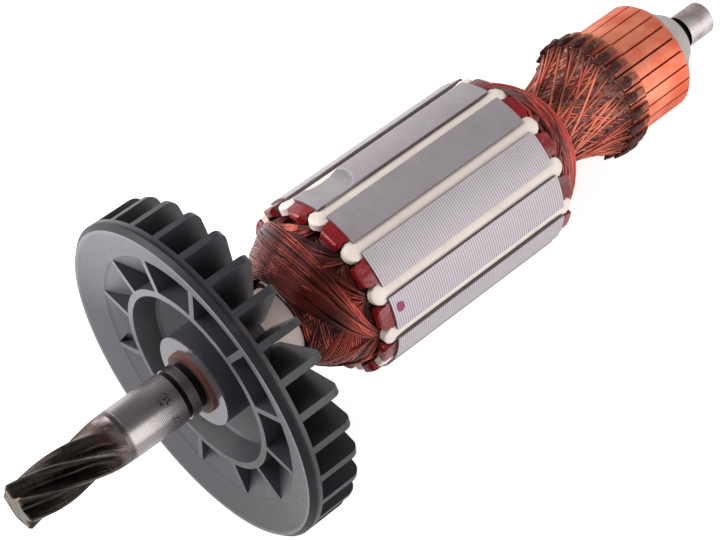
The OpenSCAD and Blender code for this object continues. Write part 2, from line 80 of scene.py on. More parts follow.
fan_front = seat_point + axis * reach_along("fan", seat_point)[0]
shaft_turn = Matrix((down, side, axis)).transposed()
shaft_place = Matrix.Translation(fan_front) @ shaft_turn.to_4x4()


def at(radius, angle, along):
    """World point for a radius and a distance along the shaft in mm, and an angle in degrees."""
    a = math.radians(angle)
    return shaft_place @ (Vector((radius * math.cos(a), radius * math.sin(a), along)) * MM)


def span(node):
    """First and last distance of a node along the shaft, in mm."""
    low, high = reach_along(node, fan_front)
    return low / MM, high / MM


def radius_of(node):
    """Largest radius of a node, in mm."""
    turned = shaft_place.inverted()
    return max((turned @ v.co).xy.length for v in nodes[node].data.vertices) / MM


core_start, core_end = span("core_laminations")
core_r = radius_of("core_laminations")
bar_start = span("commutator_bar_01")[0]
riser_r = radius_of("commutator_bar_01")
tube_r = radius_of("insulating_tube")
print("core from %.1f to %.1f mm, radius %.1f mm" % (core_start, core_end, core_r))

# %% [markdown]
# ## Camera
# The camera looks down on the armature from beyond the pinion, so that the fan comes close and
# the commutator recedes. A long lens keeps the shaft's two ends nearly parallel. The camera's
# place and its two directions are given in the shaft's frame.

# %% Camera
camera_from = Vector((-314.9, -82.8, -113.7)) * MM
camera_right = Vector((-0.1878, -0.6528, 0.7339))
camera_forward = Vector((0.8759, 0.2270, 0.4263))


def add_object(name, data):
    made = bpy.data.objects.new(name, data)
    bpy.context.scene.collection.objects.link(made)
    return made


camera_data = bpy.data.cameras.new("camera")
camera_data.lens = 99.06
camera_data.sensor_width = 36
camera_data.clip_start = 0.01
camera = add_object("camera", camera_data)
camera_up = camera_right.cross(camera_forward)
camera_axes = Matrix((camera_right, camera_up, -camera_forward)).transposed()
camera.matrix_world = shaft_place @ Matrix.Translation(camera_from) @ camera_axes.to_4x4()
bpy.context.scene.camera = camera
print("camera distance %.0f mm" % ((camera.location - fan_front).length / MM))

# %% [markdown]
# ## Lamps
# Two soft lamps stand high on opposite sides of the armature, and a small one stands beside the
# fan. A lamp shaped as a wide disk gives shadows a soft edge. Each is turned toward one point just
# above the table, so a lamp can be moved without being aimed again.

# %% Lamps
LAMPS_AIM = Vector((0, 0, 0.03))


def soft_lamp(name, place, size, power):
    """A round lamp, with its place and size in metres and its power in watts."""
    data = bpy.data.lights.new(name, "AREA")
    data.shape = "DISK"
    data.size = size
    data.energy = power
    lamp = add_object(name, data)
    lamp.location = place
    lamp.rotation_euler = (LAMPS_AIM - Vector(place)).to_track_quat("-Z", "Y").to_euler()


soft_lamp("key_lamp", (-0.25, 0.45, 0.75), 0.5, 2.6)
soft_lamp("fill_lamp", (0.30, -0.75, 0.36), 1.0, 3.9)
soft_lamp("fan_lamp", (-0.14, 0.15, 0.09), 0.12, 0.36)
print("lamps:", len(bpy.data.lights))

# %% [markdown]
# ## Helpers for finishes
# Every finish here is one Principled shader with a few texture nodes in front of it. The class
# `Nodes` keeps those recipes short: `noise`, `ramp` and `blend` each add one node to a tree and
# return its output, ready to be fed to the next. A `Finish` is such a tree inside a material.

# %% Node helpers
MIX_SOCKETS = {"FLOAT": (2, 0), "RGBA": (6, 2)}  # a Mix node's first input and its output


class Nodes:
    """Short calls that each add one node to a tree."""

    def __init__(self, tree):
        self.tree = tree

    def feed(self, socket, value):
        """Links an output to a socket, or sets the socket to a plain value or a colour."""
        if isinstance(value, bpy.types.NodeSocket):
            self.tree.links.new(value, socket)
        elif isinstance(value, tuple) and socket.type == "RGBA":
            socket.default_value = (*value, 1)
        else:
            socket.default_value = value

    def node(self, kind, output, settings, **sockets):
        """Adds a node with its settings and sockets, and returns one of its outputs."""
        made = self.tree.nodes.new(kind)
        for name, value in settings.items():
            setattr(made, name, value)
        for name, value in sockets.items():
            self.feed(made.inputs[name.replace("_", " ")], value)
        return made.outputs[output]

    def pair(self, kind, output, operation, a, b):
        """Adds a node that works on two values or two vectors."""
        made = self.tree.nodes.new(kind)
        made.operation = operation
        self.feed(made.inputs[0], a)
        self.feed(made.inputs[1], b)
        return made.outputs[output]

    def math(self, operation, a, b=0.0):
        return self.pair("ShaderNodeMath", "Value", operation, a, b)

    def both(self, a, b):
        """The product of two masks, or of a mask and the share of it that is wanted."""
        return self.math("MULTIPLY", a, b)

    def measure(self, operation, a, b):
        """A number from two vectors, such as the distance between them."""
        return self.pair("ShaderNodeVectorMath", "Value", operation, a, b)

    def ramp(self, value, start, end, low=0.0, high=1.0):
        """Goes from low to high, smoothly, as value goes from start to end."""
        return self.node("ShaderNodeMapRange", "Result", {"interpolation_type": "SMOOTHSTEP"},
                         Value=value, From_Min=start, From_Max=end, To_Min=low, To_Max=high)

    def mix(self, kind, share, a, b):
        """Goes from a to b as share goes from nothing to one; kind is FLOAT or RGBA."""
        made = self.tree.nodes.new("ShaderNodeMix")
        made.data_type = kind
        first, result = MIX_SOCKETS[kind]
        self.feed(made.inputs["Factor"], share)
        self.feed(made.inputs[first], a)
        self.feed(made.inputs[first + 1], b)
        return made.outputs[result]


# %% Finish helpers
class Finish(Nodes):
    """A material, and short calls that put nodes in front of its Principled shader."""

    def __init__(self, name, roughness=0.5, metallic=0.0):
        self.material = bpy.data.materials.new(name)
        self.material.use_nodes = True
        super().__init__(self.material.node_tree)
        self.shader = self.tree.nodes["Principled BSDF"]
        self.put("Roughness", roughness)
        self.put("Metallic", metallic)
        self.point = self.tree.nodes.new("ShaderNodeTexCoord").outputs["Object"]

    def put(self, socket, value):
        """Sets a shader socket to a plain value, a colour, or another node's output."""
        self.feed(self.shader.inputs[socket], value)

    def group(self, tree, output, **sockets):
        return self.node("ShaderNodeGroup", output, {"node_tree": tree}, **sockets)

    def noise(self, scale, detail=3.0, where=None):
        return self.node("ShaderNodeTexNoise", "Fac", {}, Vector=where or self.point,
                         Scale=scale, Detail=detail, Roughness=0.55)

    def streaky_noise(self, local, scale, detail=3.0):
        """A noise of the shaft's own coordinates, with a scale for each of its three axes."""
        where = self.node("ShaderNodeMapping", "Vector", {}, Vector=local, Scale=scale)
        return self.noise(1.0, detail, where)

    def blend(self, share, a, b):
        """Colour a where share is nothing, colour b where it is one."""
        return self.mix("RGBA", share, a, b)

    def facing_front(self):
        """One where the surface faces the pinion's end to about 40 degrees, nothing past it."""
        normal = self.tree.nodes.new("ShaderNodeTexCoord").outputs["Normal"]
        return self.ramp(self.measure("DOT_PRODUCT", normal, -axis), 0.74, 0.80)

    def near(self, local, radius, angle, along, reach):
        """One at a spot on the shaft, fading to nothing at reach mm from it."""
        turn = math.radians(angle)
        spot = (radius * math.cos(turn), radius * math.sin(turn), along)
        return self.ramp(self.measure("DISTANCE", local, spot), reach, reach * 0.4)

    def bump(self, height, depth_mm, under=None):
        sockets = {"Height": height, "Distance": depth_mm * MM, "Strength": 1.0}
        if under is not None:
            sockets["Normal"] = under
        return self.node("ShaderNodeBump", "Normal", {}, **sockets)


print("helpers ready:", Nodes.__name__, Finish.__name__)

# %% [markdown]
# ## Room and table
# Shiny wire and steel show what is around them more than their own colour. Here that is a
# bright table and bright walls with a dark patch overhead, and the patch gives ground steel its
# deep bands. World and table look white to the camera through Light Path, which adds no light.

# %% Room and table
DARK_PATCH = Vector((0.35, 0.42, 0.84)).normalized()


def by_kind_of_ray(made, usual, answers):
    """A strength that differs for camera, mirror and glass rays, from a usual one for the rest."""
    path = made.tree.nodes.new("ShaderNodeLightPath")
    strength = usual
    for ray, answer in answers:
        strength = made.mix("FLOAT", path.outputs[ray], strength, answer)
    return strength


def make_world():
    """Walls of an even brightness that dim smoothly toward the dark patch."""
    world = bpy.data.worlds.new("studio")
    bpy.context.scene.world = world
    world.use_nodes = True
    made = Nodes(world.node_tree)
    direction = made.tree.nodes.new("ShaderNodeTexCoord").outputs["Generated"]
    toward_dark = made.measure("DOT_PRODUCT", direction, DARK_PATCH)
    room = made.ramp(toward_dark, 0.2, 0.95, 0.85, 0.22)
    light = made.tree.nodes["Background"].inputs
    made.feed(light["Color"], (1, 1, 1))
    made.feed(light["Strength"], by_kind_of_ray(
        made, room, (("Is Camera Ray", 1.0), ("Is Transmission Ray", 1.0))))


def make_floor():
    """A wide table of pale matt paper."""
    form = bmesh.new()
    bmesh.ops.create_grid(form, x_segments=1, y_segments=1, size=3)
    mesh = bpy.data.meshes.new("floor")
    form.to_mesh(mesh)
    form.free()
    floor = add_object("floor", mesh)
    paper = Finish("pale_paper", roughness=0.9)
    paper.put("Base Color", (0.86, 0.86, 0.86))
    paper.put("Specular IOR Level", 0.0)
    paper.put("Emission Color", (1, 1, 1))
    paper.put("Emission Strength", by_kind_of_ray(
        paper, 0.0, (("Is Camera Ray", 0.55), ("Is Glossy Ray", 0.12),
                     ("Is Transmission Ray", 0.55))))
    mesh.materials.append(paper.material)


make_world()
make_floor()
bpy.context.scene.view_settings.view_transform = "Standard"
print("view transform:", bpy.context.scene.view_settings.view_transform)

# %% [markdown]
# ## Helpers for pieces
# A solid piece came from the construction model and only needs its plain material changed. A new
# piece is a finished bmesh: it becomes a smooth object at the origin that rides with the armature
# and carries its finish.

# %% Piece helpers
def paint(names, finish):
    """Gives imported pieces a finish, in place of the plain one they came with."""
    for name in names:
        nodes[name].data.materials.clear()
        nodes[name].data.materials.append(finish.material)
    print(finish.material.name, "painted on", len(names), "pieces")


def mesh_piece(name, form, finish):
    """Turns a finished bmesh into a smooth piece that rides with the armature."""
    mesh = bpy.data.meshes.new(name)
    form.to_mesh(mesh)
    form.free()
    mesh.materials.append(finish.material)
    for face in mesh.polygons:
        face.use_smooth = True
    piece = add_object(name, mesh)
    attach(piece, "root")
    return piece


# %% [markdown]
# ## Where am I on the shaft?
# Rust on a seat, dark hooks and turning lines all depend on the distance along the shaft or on
# the radius. This group turns a point of the object into those numbers, in millimetres, with
# one Mapping node that undoes the shaft's tilt.

# %% Group: shaft coordinates
def new_group(name, inputs, outputs):
    """A node group with the named sockets, and its two end nodes."""
    tree = bpy.data.node_groups.new(name, "ShaderNodeTree")
    for direction, sockets in (("INPUT", inputs), ("OUTPUT", outputs)):
        for label, kind in sockets.items():
            tree.interface.new_socket(label, in_out=direction, socket_type="NodeSocket" + kind)
    return tree, tree.nodes.new("NodeGroupInput"), tree.nodes.new("NodeGroupOutput")


def make_shaft_coordinates():
    tree, start, end = new_group(
        "shaft_coordinates", {"Point": "Vector"},
        {"Along": "Float", "Radius": "Float", "Angle": "Float", "Local": "Vector"})
    made = Nodes(tree)
    local = made.node("ShaderNodeMapping", "Vector", {"vector_type": "TEXTURE"},
                      Vector=start.outputs["Point"], Location=fan_front,
                      Rotation=shaft_turn.to_euler(), Scale=(MM, MM, MM))
    parts = tree.nodes.new("ShaderNodeSeparateXYZ")
    made.feed(parts.inputs[0], local)
    x, y, along = parts.outputs
    flat = made.node("ShaderNodeCombineXYZ", "Vector", {}, X=x, Y=y)
    made.feed(end.inputs["Along"], along)
    made.feed(end.inputs["Radius"], made.measure("LENGTH", flat, (0, 0, 0)))
    made.feed(end.inputs["Angle"], made.math("ARCTAN2", y, x))
    made.feed(end.inputs["Local"], local)
    return tree


shaft_coordinates = make_shaft_coordinates()


def place_of(finish, output):
    """One of the shaft coordinates, ready to be used in a finish."""
    return finish.group(shaft_coordinates, output, Point=finish.point)


print("node group:", shaft_coordinates.name)

# %% [markdown]
# ## Grime
# Oil, varnish and dirt lie in blotches: here a patch, there nothing. A noise gives soft hills,
# and a threshold that sinks as the amount grows cuts the blotches out of them.

# %% Group: grime
def make_grime():
    """Blotches with soft edges, as a mask that covers more as the amount grows."""
    tree, start, end = new_group(
        "grime", {"Point": "Vector", "Scale": "Float", "Amount": "Float"}, {"Mask": "Float"})
    made = Nodes(tree)
    hills = made.node("ShaderNodeTexNoise", "Fac", {}, Vector=start.outputs["Point"],
                      Scale=start.outputs["Scale"], Detail=5.0, Roughness=0.62)
    edge = made.math("SUBTRACT", 0.95, start.outputs["Amount"])
    full = made.math("ADD", edge, 0.22)
    made.feed(end.inputs["Mask"], made.ramp(hills, edge, full))
    return tree


grime = make_grime()
print("node group:", grime.name)

# %% [markdown]
# ## Fine lines
# Turning marks and the edges of stacked sheets are both even lines along the shaft. A ping-pong
# of the distance over the pitch goes up and down between them without a jump, so the same group
# serves as a colour mask and as the height of a bump.

# %% Group: fine lines
def make_fine_lines():
    """Rises from nothing to one and back at every pitch of a value in mm."""
    tree, start, end = new_group(
        "fine_lines", {"Value": "Float", "Pitch": "Float"}, {"Height": "Float"})
    made = Nodes(tree)
    count = made.math("DIVIDE", start.outputs["Value"], start.outputs["Pitch"])
    rise = made.math("MULTIPLY", made.math("PINGPONG", count, 0.5), 2.0)
    made.feed(end.inputs["Height"], rise)
    return tree


fine_lines = make_fine_lines()
print("node group:", fine_lines.name)

# %% [markdown]
# ## Shaft
# One steel bar, three finishes: the pinion is dark with oil in its gaps and rubbed bright on its
# crests, where a thin painted highlight line runs too, the seats are ground, and the relief grooves
# beside them are nearly black, dark steel with painted shade. The radius tells crest from gap, and
# the distance along the shaft tells pinion from seat from groove.

# %% Pinion colours
FRONT_SEAT_TO_FAN = 15.1
REAR_SEAT_LENGTH = 7.0
pinion_tip, shaft_end = span("shaft")
seat_start = span("fan")[0] - FRONT_SEAT_TO_FAN
rear_seat_start = shaft_end - REAR_SEAT_LENGTH
print("pinion from %.1f to %.1f mm" % (pinion_tip, seat_start))


def pinion_colour(steel, along, radius, streaks, lines):
    """Black gaps and rubbed crests with a painted highlight line, a rusty run-out, a worn tip, and
    a turned end by the seat.
    """
    gap = steel.blend(streaks, (0.013, 0.011, 0.010), (0.050, 0.041, 0.037))
    rubbed = steel.blend(streaks, (0.055, 0.048, 0.044), (0.24, 0.215, 0.200))
    # painted highlight: a thin paler line along each crest, on top of the real rubbing
    colour = steel.blend(steel.ramp(radius, 4.34, 4.52), gap, rubbed)
    stain = steel.group(grime, "Mask", Point=steel.point, Scale=300.0, Amount=0.46)
    run_out = steel.ramp(along, seat_start - 7.5, seat_start - 3.0)
    colour = steel.blend(steel.both(stain, run_out), colour, (0.16, 0.034, 0.026))
    colour = steel.blend(steel.both(run_out, 0.55), colour, (0.030, 0.018, 0.016))
    at_tip = steel.ramp(along, pinion_tip + 0.45, pinion_tip + 0.1)
    tip = steel.blend(streaks, (0.03, 0.019, 0.013), (0.14, 0.095, 0.058))
    colour = steel.blend(at_tip, colour, tip)
    turned_end = steel.both(steel.ramp(along, seat_start - 3.2, seat_start - 2.2),
                            steel.both(lines, 0.5))
    return steel.blend(turned_end, colour, (0.26, 0.23, 0.23))


# %% Shaft finish
SEAT_R = 5.0
SEAT_SPOTS = (((SEAT_R, 188.6, -6.7, 1.7), (0.085, 0.030, 0.022)),
              ((SEAT_R, 236.7, -6.5, 1.1), (0.10, 0.085, 0.09)))


def seat_colour(steel, at_rear):
    """Ground steel, paler on the rear seat, with two patches of fine spots on the front one."""
    ground = steel.blend(steel.noise(120), (0.30, 0.265, 0.265), (0.41, 0.375, 0.375))
    smears = steel.ramp(steel.noise(260, detail=4), 0.40, 0.62)
    pale = steel.blend(smears, (0.50, 0.40, 0.39), (0.66, 0.62, 0.62))
    colour = steel.blend(at_rear, ground, pale)
    speckle = steel.ramp(steel.noise(1900, detail=4), 0.50, 0.58)
    local = place_of(steel, "Local")
    for spot, tone in SEAT_SPOTS:
        share = steel.both(speckle, steel.near(local, *spot))
        colour = steel.blend(share, colour, tone)
    return colour


def groove_mask(steel, along, radius):
    """One in the grooves between the two seats, where the bar is thinner than a seat."""
    between_seats = steel.both(steel.ramp(along, seat_start + 6, seat_start + 6.5),
                               steel.ramp(along, rear_seat_start + 0.1, rear_seat_start))
    below_seat = steel.ramp(radius, SEAT_R - 0.1, SEAT_R - 0.4)
    return steel.both(between_seats, below_seat)


def shaft_finish():
    steel = Finish("shaft_steel", metallic=1.0)
    along, radius = place_of(steel, "Along"), place_of(steel, "Radius")
    streaks = steel.noise(900, detail=4)
    lines = steel.group(fine_lines, "Height", Value=along, Pitch=0.30)
    on_pinion = steel.ramp(along, seat_start + 0.05, seat_start - 0.35)
    at_rear = steel.ramp(along, rear_seat_start - 0.1, rear_seat_start)
    groove = groove_mask(steel, along, radius)
    # painted shade: the relief grooves are painted nearly black
    turned = steel.blend(groove, seat_colour(steel, at_rear), (0.012, 0.009, 0.009))
    pinion = pinion_colour(steel, along, radius, streaks, lines)
    steel.put("Base Color", steel.blend(on_pinion, turned, pinion))
    polished = steel.ramp(at_rear, 0, 1, 0.26, 0.58)
    dull = steel.blend(on_pinion, polished, steel.ramp(streaks, 0.3, 0.75, 0.28, 0.46))
    steel.put("Roughness", steel.math("ADD", dull, steel.both(groove, 0.3)))
    turning_marks = steel.both(lines, steel.math("SUBTRACT", 1.0, on_pinion))
    rough_flutes = steel.both(streaks, on_pinion)
    steel.put("Normal", steel.bump(turning_marks, 0.004, steel.bump(rough_flutes, 0.012)))
    return steel


paint(["shaft"], shaft_finish())

# %% [markdown]
# ## Spacer ring
# A plain ring that has rusted through, with painted shade on its inner part next to the shaft.
# One noise gives the patches their colour and, through a bump, their rough surface too, so the
# two always agree.

# %% Spacer ring finish
def spacer_finish():
    rusty = Finish("rusty_steel", roughness=0.6, metallic=0.3)
    patches = rusty.noise(900, detail=5)
    rust = rusty.blend(patches, (0.055, 0.016, 0.011), (0.16, 0.046, 0.030))
    rim = rusty.ramp(place_of(rusty, "Radius"), 5.45, 5.85)
    # painted shade: inside the rusty rim the ring is painted nearly black, for the shade by the
    # shaft
    rusty.put("Base Color", rusty.blend(rim, (0.035, 0.014, 0.011), rust))
    rusty.put("Normal", rusty.bump(patches, 0.05))
    return rusty


paint(["spacer_ring"], spacer_finish())

# %% [markdown]
# ## Fan
# Charcoal moulded plastic. The face is a paler, slightly violet grey: rubbed, dusty, and partly a
# painted sheen that is brightest toward one side, while the blades and the pockets stay nearly
# black. The hub's face shines almost like metal: it mirrors the table and the shaft above it, so
# that part alone is made partly metallic.

# %% Fan tones
HUB_R = 9.1
RING_R = 18.65
SHEEN_SIDE = 115


def fan_black(fan, along, radius, fine, facing):
    """The plastic without dust: a little paler on the blades, and painted paler inside the raised
    ring as painted light.
    """
    front = fan.blend(fine, (0.010, 0.010, 0.012), (0.022, 0.021, 0.025))
    blades = fan.blend(fine, (0.020, 0.019, 0.024), (0.040, 0.038, 0.046))
    black = fan.blend(fan.ramp(along, 1.2, 2.0), front, blades)
    # painted light: the recess inside the raised ring is painted paler, as if lit
    in_ring = fan.both(facing, fan.ramp(radius, RING_R - 1.5, RING_R - 1.6))
    in_recess = fan.both(in_ring, fan.ramp(along, 2.0, 2.5))
    return fan.blend(in_recess, black, (0.060, 0.058, 0.068))


def fan_dust_and_sheen(fan, along, cloud):
    """Dust and painted sheen on the face: the sloped dish painted paler, and a painted sheen
    brightest toward one side of the rim.
    """
    dust_and_painted_light = fan.blend(cloud, (0.070, 0.066, 0.078), (0.105, 0.100, 0.116))
    # painted light: the sloped dish floor is painted paler, so that it matches the lit flat face
    dust_and_painted_light = fan.blend(fan.ramp(along, 1.8, 2.3), dust_and_painted_light, (0.130, 0.125, 0.142))
    # painted sheen: the face is painted brighter toward one side of the rim and dimmer opposite it
    turn = fan.math("SUBTRACT", place_of(fan, "Angle"), math.radians(SHEEN_SIDE))
    toward = fan.math("COSINE", turn)
    thickness = fan.math("ADD", fan.ramp(toward, -1.0, 0.5, 0.48, 0.78),
                         fan.ramp(toward, 0.55, 1.0, 0.0, 1.0))
    return fan.node("ShaderNodeVectorMath", "Vector", {"operation": "SCALE"},
                    Vector=dust_and_painted_light, Scale=thickness)


# %% Fan finish
def fan_finish():
    fan = Finish("fan_plastic")
    along, radius = place_of(fan, "Along"), place_of(fan, "Radius")
    facing = fan.facing_front()
    fine = fan.noise(1500, detail=3)
    cloud = fan.noise(45, detail=2)
    outside_ring = fan.both(fan.ramp(radius, RING_R - 1.45, RING_R - 1.35),
                            fan.ramp(along, 7.5, 7.0))
    on_face = fan.both(facing, outside_ring)
    black = fan_black(fan, along, radius, fine, facing)
    colour = fan.blend(on_face, black, fan_dust_and_sheen(fan, along, cloud))
    # painted highlight: a thin paler line along the rim's front edge
    on_edge = fan.both(fan.ramp(along, 0.12, 0.02), facing)
    colour = fan.blend(fan.both(on_edge, 0.5), colour, (0.24, 0.23, 0.26))
    dirt = fan.group(grime, "Mask", Point=fan.point, Scale=140.0, Amount=0.40)
    colour = fan.blend(fan.both(dirt, 0.2), colour, (0.13, 0.115, 0.12))
    hub = fan.both(fan.ramp(radius, HUB_R + 0.05, HUB_R - 0.05), fan.ramp(along, 1.7, 1.5))
    rubbed = fan.blend(cloud, (0.16, 0.153, 0.167), (0.22, 0.21, 0.228))
    fan.put("Base Color", fan.blend(hub, colour, rubbed))
    fan.put("Metallic", fan.both(hub, 0.75))
    rim_side = fan.both(fan.math("SUBTRACT", 1.0, facing), fan.ramp(along, 1.6, 1.2))
    fan.put("Specular IOR Level", fan.math("SUBTRACT", 0.5, fan.both(rim_side, 0.4)))
    dull = fan.ramp(fine, 0.3, 0.7, 0.34, 0.46)
    fan.put("Roughness", fan.math("SUBTRACT", dull, fan.both(hub, 0.20)))
    grain = fan.both(fine, fan.math("SUBTRACT", 1.0, hub))
    fan.put("Normal", fan.bump(grain, 0.008))
    return fan


paint(["fan"], fan_finish())

# %% [markdown]
# ## Core
# Half-millimetre sheets stacked on the shaft. Their edges show as fine lines round every tooth,
# a dark gap between two paler edges. Grinding smeared a few teeth smooth, and those teeth and the
# cut one are also painted darker as painted shade, so a mask made from the angle round the shaft
# fades the lines on those, darkens them, and leaves the others crisp.

# %% Tooth masks
SLOTS = 12
SLOT_TURN = 360 / SLOTS
FIRST_SLOT = SLOT_TURN / 4
SMEARED_SHADED_TEETH = (172.5, -7.5)
CUT_TOOTH = 142.5


def tooth_mask(finish, angle, tooth_angle):
    """One on the tooth that stands at an angle in degrees, nothing on its neighbours."""
    away = finish.math("SUBTRACT", angle, math.radians(tooth_angle))
    return finish.ramp(finish.math("COSINE", away), math.cos(math.radians(SLOT_TURN / 2)),
                       math.cos(math.radians(SLOT_TURN / 2 - 2)))


def wall_colour(steel, along, in_cut_tooth):
    """Below the tooth tips: slot walls painted dark for varnish and painted shade, and the pale
    scoop that was cut for balance.
    """
    cut_reach = steel.both(steel.ramp(along, core_start + 1.5, core_start + 2.0),
                           steel.ramp(along, core_start + 12.5, core_start + 12.0))
    scooped = steel.blend(steel.ramp(along, core_start + 6.0, core_start + 11.5),
                          (0.40, 0.37, 0.385), (0.22, 0.20, 0.21))
    # dark varnish with painted shade on the slot walls outside the scoop
    return steel.blend(steel.both(in_cut_tooth, cut_reach), (0.16, 0.14, 0.15), scooped)


print("teeth:", SLOTS, "with", len(SMEARED_SHADED_TEETH), "smeared and one cut")

# %% Core finish
SHEET = 0.52


def core_finish():
    steel = Finish("core_steel", metallic=0.35)
    along, angle = place_of(steel, "Along"), place_of(steel, "Angle")
    local = place_of(steel, "Local")
    in_cut_tooth = tooth_mask(steel, angle, CUT_TOOTH)
    # painted shade: the cut tooth and the smeared teeth are painted darker; the smear also fades
    # their lines
    smeared_and_shaded = steel.both(in_cut_tooth, 0.7)
    for tooth_angle in SMEARED_SHADED_TEETH:
        smeared_and_shaded = steel.math("MAXIMUM", smeared_and_shaded, tooth_mask(steel, angle, tooth_angle))
    gap = steel.ramp(steel.group(fine_lines, "Height", Value=along, Pitch=SHEET), 0.62, 0.10)
    below = steel.ramp(place_of(steel, "Radius"), core_r - 0.05, core_r - 0.18)
    visible = steel.both(gap, steel.ramp(smeared_and_shaded, 0.0, 1.0, 0.60, 0.18))
    depth = steel.both(visible, steel.ramp(below, 0.0, 1.0, 1.0, 0.5))
    cloudy = steel.noise(260, detail=4)
    crisp = steel.blend(cloudy, (0.54, 0.49, 0.525), (0.67, 0.62, 0.65))
    # painted shade: the darker tone of the smeared teeth
    smeared_shaded_tone = steel.blend(cloudy, (0.31, 0.275, 0.295), (0.41, 0.37, 0.39))
    tooth = steel.blend(smeared_and_shaded, crisp, smeared_shaded_tone)
    tooth = steel.blend(below, tooth, wall_colour(steel, along, in_cut_tooth))
    rubs = steel.ramp(steel.streaky_noise(local, (0.5, 0.12, 2.2), 4), 0.60, 0.74)
    tooth = steel.blend(steel.both(rubs, 0.45), tooth, (0.62, 0.60, 0.60))
    steel.put("Base Color", steel.blend(depth, tooth, (0.11, 0.090, 0.105)))
    steel.put("Roughness", steel.ramp(cloudy, 0.3, 0.7, 0.58, 0.68))
    grain = steel.streaky_noise(local, (0.3, 0.3, 4.0))
    relief = steel.bump(steel.math("SUBTRACT", 1.0, depth), 0.02, steel.bump(grain, 0.008))
    steel.put("Normal", relief)
    return steel


paint(["core_laminations"], core_finish())

# %% [markdown]
# ## Insulation and the other plain materials
# Red resin round the core's ends, a cream tube, a dark moulding and a brass bush differ only in
# their two tones, their gloss and their grain. One recipe makes them all, and its numbers sit side
# by side, so that two materials are easy to compare.

# %% Insulation finishes
def smooth_finish(name, dark, light, roughness, grain_scale, grain_mm,
                  spots=0.25, spot_colour=(0.4, 0.3, 0.25)):
    """A plain moulded or cut material: two close tones, soft spots of dirt, and a fine grain."""
    made = Finish(name, roughness=roughness)
    tone = made.noise(grain_scale * 0.25, detail=3)
    dirt = made.group(grime, "Mask", Point=made.point, Scale=grain_scale * 0.4, Amount=0.42)
    colour = made.blend(tone, dark, light)
    made.put("Base Color", made.blend(made.both(dirt, spots), colour, spot_colour))
    made.put("Normal", made.bump(made.noise(grain_scale, detail=3), grain_mm))
    return made


for piece, *recipe in (
        # painted shade: the tube's cream is painted darker, for the shade of the fan and windings
        ("insulating_tube", "cream_insulation", (0.36, 0.28, 0.26), (0.52, 0.42, 0.39),
         0.45, 500, 0.03),
        ("slot_liners", "liner", (0.10, 0.03, 0.025), (0.18, 0.06, 0.04), 0.4, 900, 0.02),
        ("commutator_moulding", "commutator_resin", (0.050, 0.012, 0.010), (0.110, 0.024, 0.018),
         0.5, 900, 0.03),
        ("commutator_end_collar", "collar_insulation", (0.36, 0.32, 0.30), (0.52, 0.47, 0.45),
         0.40, 700, 0.02)):
    paint([piece], smooth_finish(*recipe))
red_resin = smooth_finish("red_insulation", (0.11, 0.002, 0.005), (0.32, 0.007, 0.011),
                          0.28, 300, 0.55, 0.7, (0.035, 0.004, 0.004))
red_resin.put("Coat Weight", 0.3)
paint(["drive_end_insulator", "rear_end_insulator"], red_resin)
brass = smooth_finish("bush_brass", (0.40, 0.28, 0.13), (0.52, 0.38, 0.18), 0.35, 700, 0.01)
brass.put("Metallic", 1.0)
paint(["commutator_bush"], brass)

# %% [markdown]
# ## Slot wedges
# Each wedge is a cream strip that shows in a slot's mouth and swells into a smooth round head past
# the core. The solid strip has a plain edge there, so a softer strip stands for it: a cube cut
# into many small faces, whose points are moved to the rounded plan and back. One strip is made
# and spun round the shaft to all twelve slots.

# %% Wedge strips
WEDGE_LOW, WEDGE_HIGH, WEDGE_HALF = 15.8, 16.95, 1.95
MOUTH_HALF, MOUTH_CROWN = 1.15, 0.42
HEAD_END, HEAD_RUN_IN, HEAD_CROWN = 3.4, 1.2, 0.70
BLUNT_END = 0.12


def wedge_point(across, up, end, low, high):
    """Moves one point of a cube that reaches from -1 to 1 to its place on a wedge."""
    half_length = (high - low) / 2
    inset = half_length * (1 - abs(end)) ** 2.4
    plan = math.sqrt(max(0.0, 1 - max(0.0, 1 - inset / (WEDGE_HALF * 0.95)) ** 2))
    plan = max(plan, BLUNT_END)
    y = across * WEDGE_HALF * plan
    in_head = min(max((HEAD_END - inset) / HEAD_RUN_IN, 0), 1)
    in_head = in_head * in_head * (3 - 2 * in_head)
    in_mouth = max(0.0, 1 - min(abs(y) / MOUTH_HALF, 1) ** 2) ** 0.3
    back = MOUTH_CROWN * in_mouth * (1 - in_head)
    back += HEAD_CROWN * in_head * math.sqrt(max(0.0, 1 - across * across * 0.93)) * plan
    r = WEDGE_LOW + (WEDGE_HIGH + back - WEDGE_LOW) * (up + 1) / 2
    along = (low + high) / 2 + math.copysign(half_length - inset, end)
    return r, y, along


def wedge_strips():
    paper = smooth_finish("wedge_strip", (0.77, 0.665, 0.60), (0.90, 0.80, 0.735), 0.50, 900, 0.02)
    low, high = span("slot_wedge_01")
    form = bmesh.new()
    bmesh.ops.create_cube(form, size=2)
    bmesh.ops.subdivide_edges(form, edges=form.edges[:], cuts=18, use_grid_fill=True)
    for vertex in form.verts:
        r, y, along = wedge_point(*vertex.co, low, high)
        vertex.co = at(math.hypot(r, y), FIRST_SLOT + math.degrees(math.atan2(y, r)), along)
    bmesh.ops.spin(form, geom=form.verts[:] + form.edges[:] + form.faces[:], cent=fan_front,
                   axis=axis, dvec=(0, 0, 0), angle=math.radians(SLOT_TURN * (SLOTS - 1)),
                   steps=SLOTS - 1, use_duplicate=True)
    bmesh.ops.recalc_face_normals(form, faces=form.faces)
    return mesh_piece("slot_wedges", form, paper)


wedges = sorted(name for name in nodes if name.startswith("slot_wedge"))
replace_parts(wedge_strips(), *wedges)
print("wedge strips made:", len(wedges))

# %% [markdown]
# ## Enamelled wire
# Copper wire under clear red-brown enamel, flooded with varnish: coloured highlights, a clear
# coat, and dark pools where the varnish stands between the turns. Three tones, bright, middle
# and dark, are mixed in every coil and keep a bundle from looking like one moulding.

